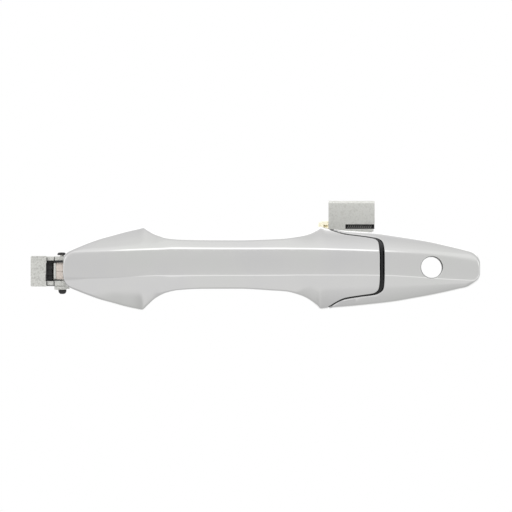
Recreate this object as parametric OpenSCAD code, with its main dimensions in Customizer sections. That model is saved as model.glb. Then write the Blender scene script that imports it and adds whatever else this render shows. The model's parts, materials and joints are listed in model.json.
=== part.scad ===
// Pull-type car door handle: a hinged grip, its end cap with a key hole, the base
// behind the door skin, and the release lever that the grip's rear arm works.
// +X runs along the handle towards the cap, -Y points out of the door, +Z is up.
// The origin is on the key hole's axis, in the plane of the door's outer skin (Y = 0).

/* [Grip] */
// Wall of the grip's outer shell
shell_wall = 2.2; // [1.6:0.1:2.6]
// Thickness of the finger-side cover
cover_t = 2.0; // [1.4:0.1:2.4]
// Clearance between the grip's feet and the front gasket
foot_gap = 0.3; // [0.3:0.05:0.6]

/* [Cap] */
// Radius of the key hole
key_hole_r = 6.05; // [5.5:0.05:7]
// Width of the parting line beside the grip's tongue
parting_gap = 0.45; // [0.35:0.05:0.6]
// Radius of the bore that takes the lock cylinder
lock_bore_r = 9.5; // [8.5:0.1:9.8]

/* [Hinge] */
// Hinge pin position along the handle
pivot_x = -205.7; // [-206:0.1:-205.4]
// Hinge pin depth behind the skin
pivot_y = 9; // [8.8:0.1:9.2]
// Radius of the hinge pin
pin_r = 2.0; // [1.8:0.05:2.1]
// Radial running clearance in the bushes
run_clear = 0.05; // [0.02:0.01:0.09]

/* [Release lever] */
// Lever axis depth behind the skin
lever_y = 32; // [31.5:0.1:32.5]
// Lever axis height
lever_z = -12; // [-12.5:0.1:-11.5]
// Lean of the paddle at rest, in degrees
lever_lean = 27.3; // [26.5:0.1:28]
// Radius of the lever pin
lever_pin_r = 1.75; // [1.5:0.05:2]

/* [Seals and base] */
// Thickness of the gaskets
gasket_t = 1.2; // [0.8:0.1:1.5]
// Front face of the base behind the skin
base_y = 1.2; // [1:0.1:1.6]
// Thickness of the base plate
base_t = 2.5; // [2:0.1:3]

/* [Hidden] */
$fn = 64;
eps = 0.01;
foot_y = -gasket_t - foot_gap;

// ---- outline and surface of the whole handle, as [x, value] --------------------------
top_edge = [[-204.7, 6], [-203.6, 7.9], [-201, 9.4], [-197.7, 11], [-191, 13.8],
    [-184.3, 16.2], [-177.7, 18.1], [-171, 20], [-164.3, 21.6], [-160.6, 22.3],
    [-157.7, 20.7], [-154.3, 18.7], [-151, 17.4], [-147.7, 16.3], [-141, 15.5],
    [-127, 15.2], [-107, 15.2], [-87.7, 15.75], [-81, 16.2], [-74.3, 17.3], [-71, 18.1],
    [-67.7, 19.3], [-64.3, 21.1], [-61.6, 22.4], [-57.4, 21.4], [-44.3, 20.4],
    [-31, 19.5], [-21, 18.1], [-11, 16.5], [-1, 14.7], [9, 12.35], [15.7, 10.6],
    [19, 9.65], [22.3, 8.6], [25.7, 6], [27, 2.9]];
bottom_edge = [[-204.7, -9], [-203.6, -10.3], [-201, -11.6], [-197.7, -13.1],
    [-191, -15.8], [-184.3, -18.2], [-177.7, -20], [-171, -21.9], [-164.3, -23.4],
    [-161.2, -23.9], [-157.7, -21.1], [-154.3, -17.9], [-151, -15.8], [-147.7, -14.3],
    [-141, -12.8], [-127, -12.1], [-107, -12.1], [-87.7, -13.1], [-81, -13.6],
    [-74.3, -15.3], [-71, -16.6], [-67.7, -18.5], [-64.3, -21.2], [-61.6, -23.4],
    [-57.4, -23], [-44.3, -21.95], [-31, -20.6], [-21, -19.4], [-11, -17.7], [-1, -15.9],
    [9, -13.8], [15.7, -12.2], [19, -11.5], [22.3, -9.9], [25.7, -7.15], [27, -4.3]];
crest = [[-204.7, -5], [-200, -7.5], [-190, -13], [-175, -20.5], [-160, -27],
    [-145, -32], [-130, -35], [-110, -36], [-90, -35.5], [-70, -33], [-57, -31],
    [-30, -26.5], [-10, -21.5], [5, -17], [15, -13], [22, -9.5], [27, -5.5]];
side_y = [[-204.7, -3], [-165, -4], [-157, -12], [-150, -22], [-143, -27], [-125, -29],
    [-95, -29], [-80, -27], [-70, -18], [-64, -8], [-57, -5], [27, -3.5]];
back_y = [[-204.7, foot_y], [-161, foot_y], [-157, -3], [-153, -9], [-149, -15],
    [-143, -19], [-125, -20], [-95, -20], [-80, -19], [-72, -15], [-67, -9],
    [-62, -3], [-58, foot_y], [-28, foot_y]];
curl = [[-204.7, 0.3], [-160, 0.3], [-148, 1.5], [-138, 3], [-85, 3], [-75, 1.5],
    [-62, 0.3], [27, 0.3]];
upper_crease = [[-204.7, 9.6], [-184, 9.6], [-156, 10.4], [-140, 10.7], [-73, 10.7],
    [-51, 10.3], [-20, 9.3], [10, 7.4], [27, 5]];
lower_crease = [[-204.7, -6.2], [-184, -6.1], [-156, -4.6], [-140, -4.3], [-95, -4.1],
    [-51, -3.6], [-20, -4.6], [10, -6.5], [27, -7.4]];
tongue_top = [[-57.4, 21.3], [-53.8, 19.9], [-48.2, 18.4], [-39.9, 17.5], [-34.3, 16.7],
    [-31.7, 16.2], [-30.3, 15], [-29.5, 13.2], [-28.9, 10], [-28.7, 6]];
tongue_bottom = [[-57.4, -21.9], [-52.7, -19.1], [-49.3, -17.5], [-46, -16.7],
    [-38.8, -15.6], [-32.4, -14.7], [-30.6, -13.6], [-29.5, -11.6], [-28.9, -9.2],
    [-28.7, -7]];
// Slope of the bands above and below the two creases
upper_slope = 0.5;
lower_slope = 0.34;
// Lengths along X of the solids' stations
grip_x = [-204.7, -203.9, -202, -198, -192, -185, -178, -171, -165, -162, -160.6, -159,
    -157, -154.5, -152, -149, -146, -142, -136, -128, -118, -108, -98, -90, -83, -78, -74,
    -71, -68.5, -66, -64, -62.3, -61.4, -59.5, -57.4, -55, -50, -44, -38, -34, -31.5,
    -30.2, -29.3, -28.7];
cap_x = [-57.2, -52, -46, -40, -34, -28, -22, -16, -10, -4, 2, 8, 12, 15.7, 19, 21.5,
    23.5, 25.2, 26.3, 27];
recess = [[-56.6, 22.2], [-53.8, 19.9], [-48.2, 18.4], [-39.9, 17.5], [-34.3, 16.7],
    [-31.2, 16.1], [-28.9, 15.2], [-27.6, 13.8], [-26.8, 12], [-26.75, 9.6],
    [-26.75, -8.7], [-27.3, -11], [-28.9, -13.2], [-31.8, -14.6], [-38.8, -15.6],
    [-46, -16.7], [-49.3, -17.5], [-52.7, -19.1], [-56.3, -21.3], [-57.4, -22.4]];

// ---- functions ---------------------------------------------------------------------
// Value of a smooth curve through a table's points, with no overshoot
function cell(t, x, i = 0) = i >= len(t) - 2 || x < t[i + 1][0] ? i : cell(t, x, i + 1);
function rise(t, i) = (t[i + 1][1] - t[i][1]) / (t[i + 1][0] - t[i][0]);
function tangent(t, i) = i <= 0 ? rise(t, 0) : i >= len(t) - 1 ? rise(t, len(t) - 2)
    : let (a = rise(t, i - 1), b = rise(t, i)) a * b <= 0 ? 0 : 2 * a * b / (a + b);
function curve(t, x) = let (i = cell(t, x), h = t[i + 1][0] - t[i][0],
    u = max(0, min(1, (x - t[i][0]) / h)))
    t[i][1] * (1 + 2 * u) * (1 - u) * (1 - u) + t[i + 1][1] * u * u * (3 - 2 * u)
    + h * tangent(t, i) * u * (1 - u) * (1 - u) + h * tangent(t, i + 1) * u * u * (u - 1);

// Creases, kept inside the outline where it narrows
function high(x) = min(curve(upper_crease, x), curve(top_edge, x) - 1.5);
function low(x) = max(curve(lower_crease, x), curve(bottom_edge, x) + 1.5);

// Depth of a band that falls away from a crease and turns over at the outline
function band(drop, slope, width, t) = let (plane = min(slope * width, 0.8 * drop))
    plane * t + (drop - plane) * pow(t, 5);
function surface_y(x, z) = let (c = curve(crest, x), s = curve(side_y, x),
    u = high(x), l = low(x), t = curve(top_edge, x), b = curve(bottom_edge, x))
    z > u ? c + band(s - c, upper_slope, t - u, min(1, (z - u) / (t - u)))
    : z < l ? c + band(s - c, lower_slope, l - b, min(1, (l - z) / (l - b)))
    : c - 0.3 * sin(180 * (z - l) / (u - l));

// Heights at which a section is sampled, closer together near the outline
band_steps = [1, 0.97, 0.91, 0.82, 0.68, 0.5, 0.25];
function heights(x, zb, zt) = let (u = min(high(x), zt - 0.8), l = max(low(x), zb + 0.8))
    concat([for (s = band_steps) l + (zb - l) * s],
        [for (k = [0:4]) l + (u - l) * k / 4],
        [for (i = [len(band_steps) - 1:-1:0]) u + (zt - u) * band_steps[i]]);

// Section of the grip at x, inset by w: bottom back edge, over the crest, top back edge
function section(x, xs, zb, zt, yb, curl, w, flat) = let (k = flat ? -0.1 : curl) concat(
    [[x, yb, zb + k + w]],
    [for (z = heights(xs, zb, zt)) let (q = z + w * (zb + zt - 2 * z) / (zt - zb))
        [x, flat ? yb : surface_y(xs, q) + w, q]],
    [[x, yb, zt - k - w]]);
function grip_zt(x) = x < -57.4 ? curve(top_edge, x) : curve(tongue_top, x);
function grip_zb(x) = x < -57.4 ? curve(bottom_edge, x) : curve(tongue_bottom, x);
function grip_row(x, w, end) = let (first = grip_x[0], last = grip_x[len(grip_x) - 1],
    xi = first + w + (x - first) * (last - first - 2 * w) / (last - first),
    k = curve(curl, xi))
    section(xi + 0.1 * end, xi, grip_zb(xi) + 0.2 * abs(end), grip_zt(xi) - 0.2 * abs(end),
        curve(back_y, xi), k, w, end != 0);
function grip_rows(w) = concat(grip_row(grip_x[0], w, -1),
    [for (x = grip_x) each grip_row(x, w, 0)],
    grip_row(grip_x[len(grip_x) - 1], w, 1));

// Two triangles of a four-sided face, and the faces of a grid of rows and columns
function quad(a, b, c, d) = [[a, b, c], [a, c, d]];
function grid(rows, cols, from, turn) = [for (i = [0:rows - 2], j = [0:cols - 2])
    let (a = from + i * cols + j, b = a + cols)
    each turn ? quad(a, a + 1, b + 1, b) : quad(a, b, b + 1, a + 1)];
// Faces that join the edges of an outer grid to those of an inner grid
function rim(rows, cols) = let (n = rows * cols) concat(
    [for (i = [0:rows - 2]) let (a = i * cols, b = a + cols)
        each concat(quad(a, a + n, b + n, b),
            quad(a + cols - 1, b + cols - 1, b + cols - 1 + n, a + cols - 1 + n))],
    [for (j = [0:cols - 2]) let (e = (rows - 1) * cols)
        each concat(quad(j, j + 1, j + 1 + n, j + n),
            quad(e + j, e + j + n, e + j + 1 + n, e + j + 1))]);
// Faces of a solid made of closed rings
function tube_faces(rows, cols) = concat([[for (j = [cols - 1:-1:0]) j]],
    [for (i = [0:rows - 2], j = [0:cols - 1]) let (a = i * cols, k = (j + 1) % cols)
        each quad(a + j, a + k, a + cols + k, a + cols + j)],
    [[for (j = [0:cols - 1]) (rows - 1) * cols + j]]);

// ---- shared solids -------------------------------------------------------------------
module box(from, to) { translate(from) cube(to - from); }
module bar_x(x0, x1, y, z, r) { translate([x0, y, z]) rotate([0, 90, 0]) cylinder(h = x1 - x0, r = r); }
module bar_y(y0, y1, x, z, r) { translate([x, y0, z]) rotate([-90, 0, 0]) cylinder(h = y1 - y0, r = r); }
module bar_z(z0, z1, x, y, r) { translate([x, y, z0]) cylinder(h = z1 - z0, r = r); }
// Plate drawn in X and Z, from y0 to y1
module plate(y0, y1) { translate([0, y1, 0]) rotate([90, 0, 0]) linear_extrude(y1 - y0) children(); }
// Block of rounded outline in X and Z
module round_plate(x0, x1, z0, z1, y0, y1, r) {
    plate(y0, y1) hull() for (x = [x0 + r, x1 - r], z = [z0 + r, z1 - r])
        translate([x, z]) circle(r = r, $fn = 32);
}
// Pan-head screw pointing outwards, its head's top at y
module screw_out(x, z, y, length, r) {
    difference() {
        union() {
            bar_y(y - 1.6, y, x, z, 1.9 * r);
            bar_y(y - length, y - 1.6, x, z, r);
        }
        plate(y - 0.9, y + 1) translate([x, z]) for (a = [0, 90]) rotate(a)
            square([1.8 * r, 0.5 * r], center = true);
    }
}

// ---- the grip ------------------------------------------------------------------------
module grip_shell() {
    rows = len(grip_x) + 2;
    cols = 2 * len(band_steps) + 7;
    color("gainsboro") polyhedron(points = concat(grip_rows(0), grip_rows(shell_wall)),
        faces = concat(grid(rows, cols, 0, false), grid(rows, cols, rows * cols, true),
            rim(rows, cols)));
}

module grip_back_cover() {
    cover_x = [-158, -155, -152, -149, -146, -142, -136, -125, -110, -95, -86, -80, -75,
        -71, -67, -64];
    side = shell_wall + 0.1;
    color("lightgray") difference() {
        polyhedron(points = [for (x = cover_x) let (y = curve(back_y, x),
            k = curve(curl, x) + side, zb = grip_zb(x) + k, zt = grip_zt(x) - k)
            each [[x, y, zb + 1], [x, y - cover_t, zb], [x, y - cover_t, zt],
                [x, y, zt - 1]]], faces = tube_faces(len(cover_x), 4));
        for (x = cover_screw_x) {
            bar_y(-30, -10, x, screw_z, 1.3);
            bar_y(curve(back_y, x) - 1.8, -10, x, screw_z, 2.4);
        }
    }
}

front_screw_x = [-180, -167];
rear_screw_x = [-52.5, -44.5];
cover_screw_x = [-137, -85];
screw_z = 1;
module grip_core() {
    color("dimgray") difference() {
        translate([0, 0, -5]) linear_extrude(12) polygon([[-186, -5], [-161, -5], [-157, -8],
            [-153, -13.5], [-149, -19.5], [-143, -22.5], [-95, -22.6], [-80, -21.6],
            [-72, -17.8], [-67, -13], [-62, -12], [-34, -12], [-34, -20.5], [-57, -25],
            [-70, -27.5], [-90, -30], [-110, -30.8], [-130, -29.6], [-145, -26.5],
            [-160, -21.5], [-175, -15], [-186, -9.5]]);
        for (x = [-126, -112, -98]) box([x, -28.5, -2.5], [x + 10, -22, 4.5]);
        for (x = front_screw_x) bar_y(-12, -4, x, screw_z, 1.5);
        for (x = rear_screw_x) bar_y(-20, -11, x, screw_z, 1.5);
        for (x = cover_screw_x) bar_y(-27.5, -20, x, screw_z, 1.2);
    }
}

module cover_screws() {
    color("silver") for (x = cover_screw_x)
        screw_out(x, screw_z, curve(back_y, x) - 0.2, 6.5, 1.2);
}

// ---- the grip's hinge arm -------------------------------------------------------------
arm_z0 = -7.2;
arm_z1 = 3.2;
bush_r = 3.2;
module front_hinge_arm() {
    color("silver") difference() {
        union() {
            bar_z(arm_z0, arm_z1, pivot_x, pivot_y, 5);
            translate([0, 0, arm_z0]) linear_extrude(arm_z1 - arm_z0) polygon([
                [pivot_x, pivot_y + 4.5], [-195, pivot_y + 4.5], [-187, 6], [-183, -2.4],
                [-183, -5], [-187.5, -5], [-190, -2], [-196, 4.2], [pivot_x, 4.2]]);
            box([-185, -5, -6], [-161, -2.4, 6]);
        }
        bar_z(-20, 20, pivot_x, pivot_y, bush_r);
        box([-208.9, 0, -6.9], [-200.5, 6.6, 2.5]);
        for (x = front_screw_x) bar_y(-6, 0, x, screw_z, 1.7);
    }
}

module front_arm_screws() {
    color("silver") for (x = front_screw_x) screw_out(x, screw_z, -0.8, 9, 1.5);
}

module hinge_bush(z0, z1) {
    difference() {
        union() {
            bar_z(z0, z1, pivot_x, pivot_y, bush_r);
            box([-208.9, 4.6, z0], [-203, 6.6, z1]);
            box([-208.7, 6.6 - eps, z0], [-203, pivot_y - 1, z1]);
        }
        bar_z(-20, 20, pivot_x, pivot_y, pin_r + run_clear);
    }
}
module hinge_bush_upper() { color("bisque") intersection() { hinge_bush(-2.4, 2.4); bush_room(); } }
module hinge_bush_lower() { color("linen") intersection() { hinge_bush(-6.8, -2.5); bush_room(); } }
// The pocket and bore of the arm that hold the bushes
module bush_room() {
    union() {
        bar_z(-20, 20, pivot_x, pivot_y, bush_r);
        box([-208.9, 0, -6.9], [-200.5, 6.6, 2.5]);
    }
}

// ---- the grip's rear pull arm -----------------------------------------------------------
flag_y0 = 33;
flag_y1 = 51;
toe_r = 2.2;
module rear_pull_arm() {
    color("silver") difference() {
        union() {
            box([-56, -12, -6], [-33, -9, 12]);
            box([-40, -12, -4], [-33, flag_y1, 12.5]);
            box([-40, flag_y0, 12], [-33, flag_y1, 21]);
            translate([-57.1, 0, 0]) rotate([90, 0, 90]) linear_extrude(25.7) polygon([
                [flag_y0, 19.9], [flag_y1, 19.9], [flag_y1, 36.2], [flag_y1 - 0.8, 37],
                [flag_y0 + 1.6, 37], [flag_y0, 35.8]]);
            bar_x(-53, -39, 48.5, 10, toe_r);
            bar_x(-53.8, -53, 48.5, 10, toe_r + 0.6);
        }
        box([-47.7, 20, 21.3], [-30, 60, 23.9]);
        box([-32, 20, 19], [-30, 60, 21.4]);
        box([-54, flag_y0 + 4, 27], [-36, 60, 33.5]);
        box([-41, 8, 1], [-32, 28, 8]);
        for (x = rear_screw_x) bar_y(-13, -8, x, screw_z, 1.7);
    }
}

module rear_arm_screws() {
    color("silver") for (x = rear_screw_x) screw_out(x, screw_z, -7.4, 10, 1.5);
}

module arm_slot_pad() {
    color("#202020") difference() {
        box([-47.7, flag_y0 + 1.5, 21.3], [-32.6, flag_y1 - 1, 23.9]);
        for (x = [-46:3:-35]) box([x, flag_y0, 22], [x + 1.2, flag_y0 + 3, 23.2]);
    }
}

module arm_guide_clip() {
    color("cornsilk") difference() {
        plate(flag_y0 + 1, flag_y0 + 11) polygon([[-63.2, 23.4], [-62.4, 25.3],
            [-61.6, 25.7], [-57.1, 25.7], [-57.1, 16], [-60.5, 16], [-61.6, 20.5]]);
        box([-59.9, 0, 22.2], [-57.6, flag_y0 + 3, 23.5]);
        box([-60.2, flag_y0 + 5, 17.5], [-58.2, 60, 22]);
    }
}

// ---- base behind the skin ------------------------------------------------------------------
ear_x = [[-58.5, -55.5], [-44, -41]];
ear_screw_x = [-52.5, -47];
bush_x = [-150, -76];
carrier_x = -29.4;
bush_out_r = 4.5;
base_back = 16;
tail_screw_z = [-4.5, 2.5];
module handle_base() {
    color("#2b2b2d") difference() {
        union() {
            plate(base_y, base_y + base_t) polygon([[-198, -11], [-166, -11], [-160, -9],
                [-64, -9], [-64, 10.5], [-160, 10.5], [-166, 9], [-198, 9]]);
            for (z = [-11, 7]) box([-198, base_y, z], [-166, base_back, z + 2]);
            for (z = [-9, 8.5]) box([-167, base_y, z], [-64, 11, z + 2]);
            box([-180, base_y, -11], [-171, base_back, 9]);
            for (x = bush_x) bar_y(base_y, 12, x, 1, 7.5);
            for (x = [-128, -111, -94]) box([x, base_y, -9], [x + 2, 9, 10]);
        }
        box([-200, 0, -7.4], [-181.5, 14, 5]);
        for (x = bush_x) bar_y(0, 14, x, 1, bush_out_r);
        for (z = tail_screw_z) bar_y(8, 18, -175.5, z, 1.5);
    }
}

// The moulded base goes on past the parting line: a frame round the window of the pull arm,
// and the carrier of the lock
module arm_window_frame() {
    y1 = base_y + base_t;
    color("#333336") difference() {
        union() {
            plate(base_y, y1) polygon([[-63.9, -12], [-57, -18.5], [carrier_x, -17.4],
                [carrier_x, 16.7], [-57, 18.5], [-63.9, 12]]);
            for (z = [-12, 10]) box([-63.9, base_y, z], [-60.5, 11, z + 2]);
            box([-63.9, base_y, -12], [-61.9, 11, 12]);
        }
        box([-58, 0, -5.5], [-31.5, 5, 15.6]);
        for (x = ear_screw_x) bar_y(base_y - 1, base_back, x, lever_z, 1.3);
        for (z = [-7, 8]) bar_x(-66, -60, 6.5, z, 1.5);
    }
}

module lock_carrier() {
    y1 = base_y + base_t;
    color("#333336") difference() {
        union() {
            plate(base_y, y1) polygon([[carrier_x, -17.4], [0, -13], [19, -8.5], [23.2, -4],
                [23.2, 3.2], [19, 7], [0, 12], [carrier_x, 16.7]]);
            bar_y(base_y, 24, 0, 0, 11.9);
            box([20.7, base_y, -4.5], [23.2, 14, 3.8]);
            for (z = [-13, -1, 10]) box([-29, base_y, z], [-9.5, 8, z + 1.8]);
        }
        bar_y(0, 30, 0, 0, lock_bore_r);
        box([13.4, 0, -4.6], [20.7, 15, 4.6]);
        bar_x(18, 25, 9, -0.5, 2.1);
    }
}

module lever_bracket() {
    y0 = base_y + base_t;
    color("darkgray") difference() {
        union() {
            for (l = ear_x) {
                box([l[0], y0, lever_z - 4.8], [l[1], lever_y, lever_z + 4.8]);
                bar_x(l[0], l[1], lever_y, lever_z, 4.8);
            }
            box([-58.5, y0, lever_z - 4.8], [-41, y0 + 2, lever_z + 4.8]);
        }
        for (l = ear_x) bar_x(l[0] - 1, l[1] + 1, lever_y, lever_z, lever_pin_r);
        for (x = ear_screw_x) bar_y(y0 - 1, y0 + 3, x, lever_z, 1.4);
        for (l = ear_x) box([l[0] - 1, 12, lever_z - 2], [l[1] + 1, 22, lever_z + 2]);
    }
}

module lever_bracket_screws() {
    color("silver") for (x = ear_screw_x)
        screw_out(x, lever_z, base_y + base_t + 3.6, 6, 1.3);
}

module base_bushes() {
    color("silver") for (x = bush_x) difference() {
        union() {
            bar_y(base_y - 0.2, 12.4, x, 1, bush_out_r);
            bar_y(12, 13, x, 1, 6.2);
        }
        bar_y(0, 15, x, 1, 3.2);
    }
}

// ---- hinge bracket and pin --------------------------------------------------------------------
module hinge_bracket() {
    color("silver") difference() {
        union() {
            round_plate(-223.1, -214, -10.8, 6.2, 2.4, 18.5, 0.8);
            box([-214.1, 3.2, 3.6], [-209.9, 18.5, 5.8]);
            box([-210, 3, 3.8], [-198.5, 18.5, 6]);
            box([-214.1, 3.2, -10.4], [-198.5, 18.5, -7.6]);
            box([-209.9, 4, -12.6], [-203.2, 15, -7.6]);
            box([-208.8, 3.4, -12.1], [-201.6, 15.6, -10.7]);
            round_plate(-216, -171, -10.4, 5.9, base_back, 18.5, 0.8);
            box([-216, 13.5, -10.4], [-213, 17, 5.8]);
        }
        bar_z(-20, 10, pivot_x, pivot_y, pin_r);
        box([-221, 12, -8], [-216.5, 20, 3.4]);
        for (z = tail_screw_z) bar_y(15, 20, -175.5, z, 1.7);
    }
}

module bracket_screws() {
    color("silver") for (z = tail_screw_z) screw_out(-175.5, z, 20.1, 10, 1.5);
}

module hinge_pin() {
    color("silver") union() {
        bar_z(-12.6, 6, pivot_x, pivot_y, pin_r);
        bar_z(-13.6, 7.2, pivot_x, pivot_y, 1.1);
    }
}

module pin_cap_upper() {
    color("#151515") translate([pivot_x - 0.2, pivot_y, 0]) difference() {
        rotate_extrude() polygon([[0, 6.7], [2.4, 6.7], [2.4, 7.4], [1.9, 8], [1.1, 8.2],
            [0, 8.2]]);
        translate([0.2, 0, 6]) cylinder(h = 1.2, r = 1.1);
    }
}

module pin_cap_lower() {
    color("#151515") translate([pivot_x + 0.2, pivot_y, 0]) difference() {
        rotate_extrude() polygon([[0, -12.6], [2.25, -12.6], [2.25, -13.4], [1.9, -14.3],
            [1.2, -14.9], [0, -15]]);
        translate([-0.2, 0, -13.6]) cylinder(h = 2, r = 1.1);
    }
}

module hinge_buffer() {
    color("#26272b") difference() {
        box([-214, 6, -7.5], [-211.2, 13.4, 3.5]);
        for (z = [-5.5, -2.2, 1.1]) box([-215, 5, z], [-210, 6.8, z + 0.9]);
    }
}

// ---- gaskets ----------------------------------------------------------------------------------
module outline(x0, x1, step) {
    polygon(concat([for (x = [x0:step:x1]) [x, curve(top_edge, x)]],
        [for (x = [x1:-step:x0]) [x, curve(bottom_edge, x)]]));
}
module gasket(x0, x1) {
    plate(-gasket_t, 0) difference() {
        offset(delta = -0.9) outline(x0, x1, 2.4);
        offset(delta = -4.2) outline(x0, x1, 2.4);
    }
}
module front_gasket() { color("#1b1b1c") gasket(-204, -158.4); }
module rear_gasket() { color("#1b1b1c") gasket(-64.8, 26.4); }

// ---- end cap -------------------------------------------------------------------------------------
module recess_area(grow) { offset(delta = grow) polygon(concat([[-70, 26]], recess, [[-70, -26]])); }
module cap_body() {
    polyhedron(points = [for (x = cap_x) let (zb = curve(bottom_edge, x),
        zt = curve(top_edge, x)) each section(x, x, zb, zt, -gasket_t, 0.1, 0, false)],
        faces = tube_faces(len(cap_x), 2 * len(band_steps) + 7));
}
module cap_shell() {
    color("gainsboro") union() {
        difference() {
            cap_body();
            plate(-60, 5) recess_area(parting_gap);
            bar_y(-60, 5, 0, 0, key_hole_r);
            plate(-9, 0) polygon([[-22, -14], [-11, -13.5], [-11, 12], [-22, 13.5]]);
            plate(-5.5, 0) polygon([[-12, -12], [8, -10], [8, 8.5], [-12, 12]]);
            bar_y(-5.5, 0, 0, 0, collar_r + 0.1);
        }
        box([13.6, -4, -4.4], [20.5, 14, 4.4]);
    }
}

// Side view of the bumper, as [y, z]: its front stays a little under the bright skin
bumper_side = [[-17.2, -13.5], [-20.4, -10], [-23, -6.5], [-23, 10], [-21.8, 12], [-18.6, 14],
    [-15.6, 15.5], [-gasket_t, 15.5], [-gasket_t, -13.5]];

module cap_bumper() {
    color("#101010") intersection() {
        plate(-23, -gasket_t) difference() {
            recess_area(parting_gap);
            recess_area(parting_gap - 2);
            translate([-80, -30]) square([80 - 28.4, 60]);
        }
        translate([-30, 0, 0]) rotate([90, 0, 90]) linear_extrude(6) polygon(bumper_side);
    }
}

module cap_screw() {
    color("silver") difference() {
        union() {
            bar_x(23.2, 25.2, 9, -0.5, 3.1);
            bar_x(20.5, 23.2, 9, -0.5, 2.1);
        }
        bar_x(24.2, 26, 9, -0.5, 1.3);
    }
}

collar_r = 9.4;
module lock_collar() {
    color("#3a3a3c") difference() {
        bar_y(-5.4, base_y, 0, 0, collar_r);
        bar_y(-6, 2, 0, 0, key_hole_r + 0.6);
    }
}

// ---- release lever --------------------------------------------------------------------------------
paddle_r = 30;
eye_y = 45;
eye_r = 1.7;
module release_lever() {
    color("silver") difference() {
        union() {
            bar_x(-50, -44.4, lever_y, lever_z, 5);
            translate([-54, lever_y, lever_z]) rotate([-lever_lean, 0, 0]) {
                translate([0, -1.5, 6]) cube([9, 3, paddle_r - 6]);
                translate([4.5, -1.5, 0]) cube([4.5, 3, 8]);
            }
            box([-49, lever_y, lever_z - 3], [-45, eye_y, lever_z + 3]);
            bar_x(-49, -45, eye_y, lever_z, 3.4);
        }
        bar_x(-60, -40, lever_y, lever_z, 2.8);
        bar_x(-60, -40, eye_y, lever_z, eye_r);
    }
}

module lever_bush() {
    color("linen") difference() {
        bar_x(-50.2, -44.3, lever_y, lever_z, 2.8);
        bar_x(-60, -40, lever_y, lever_z, lever_pin_r + run_clear);
    }
}

module lever_pin() {
    color("silver") difference() {
        union() {
            bar_x(-60.2, -39.6, lever_y, lever_z, lever_pin_r);
            bar_x(-60.2, -58.5, lever_y, lever_z, 3.2);
        }
        difference() {
            bar_x(-40.8, -40.2, lever_y, lever_z, 4);
            bar_x(-41, -40, lever_y, lever_z, 1.3);
        }
    }
}

module lever_pin_clip() {
    color("dimgray") difference() {
        bar_x(-40.8, -40.2, lever_y, lever_z, 3);
        bar_x(-42, -39, lever_y, lever_z, 1.3);
        box([-42, lever_y - 0.9, lever_z], [-39, lever_y + 0.9, lever_z + 5]);
    }
}

// Torsion spring: turns round the lever pin, one leg along the base, one short hook
spring_r = 3.4;
spring_wire = 0.5;
spring_turns = 3.75;
module return_spring() {
    sides = 8;
    turn_steps = 16;
    pitch = 1.08;
    n = spring_turns * turn_steps;
    coil = [for (i = [0:n]) let (a = 360 * i / turn_steps)
        [-55.4 + spring_wire + pitch * i / turn_steps, lever_y - spring_r * cos(a),
            lever_z + spring_r * sin(a)]];
    path = concat([[coil[0][0], lever_y - spring_r, lever_z - 6.5]], coil);
    color("lightslategray") polyhedron(points = [for (i = [0:len(path) - 1])
        let (a = path[max(0, i - 1)], b = path[min(len(path) - 1, i + 1)],
            d = (b - a) / norm(b - a), u = cross(d, [1, 0, 0]), v = u / norm(u),
            w = cross(d, v))
        each [for (j = [0:sides - 1]) let (q = 360 * j / sides)
            path[i] + spring_wire * (cos(q) * v + sin(q) * w)]],
        faces = tube_faces(len(path), sides));
}

module rod_clip() {
    color("cornsilk") difference() {
        union() {
            bar_x(-45, -42.6, eye_y, lever_z, 3.2);
            bar_x(-49.6, -45, eye_y, lever_z, eye_r);
        }
        bar_x(-52, -40, eye_y, lever_z, 1);
    }
}

grip_shell();
grip_core();
grip_back_cover();
cover_screws();
front_hinge_arm();
front_arm_screws();
hinge_bush_upper();
hinge_bush_lower();
rear_pull_arm();
rear_arm_screws();
arm_slot_pad();
arm_guide_clip();
handle_base();
arm_window_frame();
lock_carrier();
lever_bracket();
lever_bracket_screws();
base_bushes();
hinge_bracket();
bracket_screws();
hinge_pin();
pin_cap_upper();
pin_cap_lower();
hinge_buffer();
front_gasket();
rear_gasket();
cap_shell();
cap_bumper();
cap_screw();
lock_collar();
release_lever();
lever_bush();
lever_pin();
lever_pin_clip();
return_spring();
rod_clip();
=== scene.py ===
"""Looks of the pull-type car door handle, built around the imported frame.

Lengths in the tables and in the shape functions are millimetres in the frame's own axes
(+X towards the end cap, -Y out of the door, +Z up); meshes are made in metres.
"""
import json
import math

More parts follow.
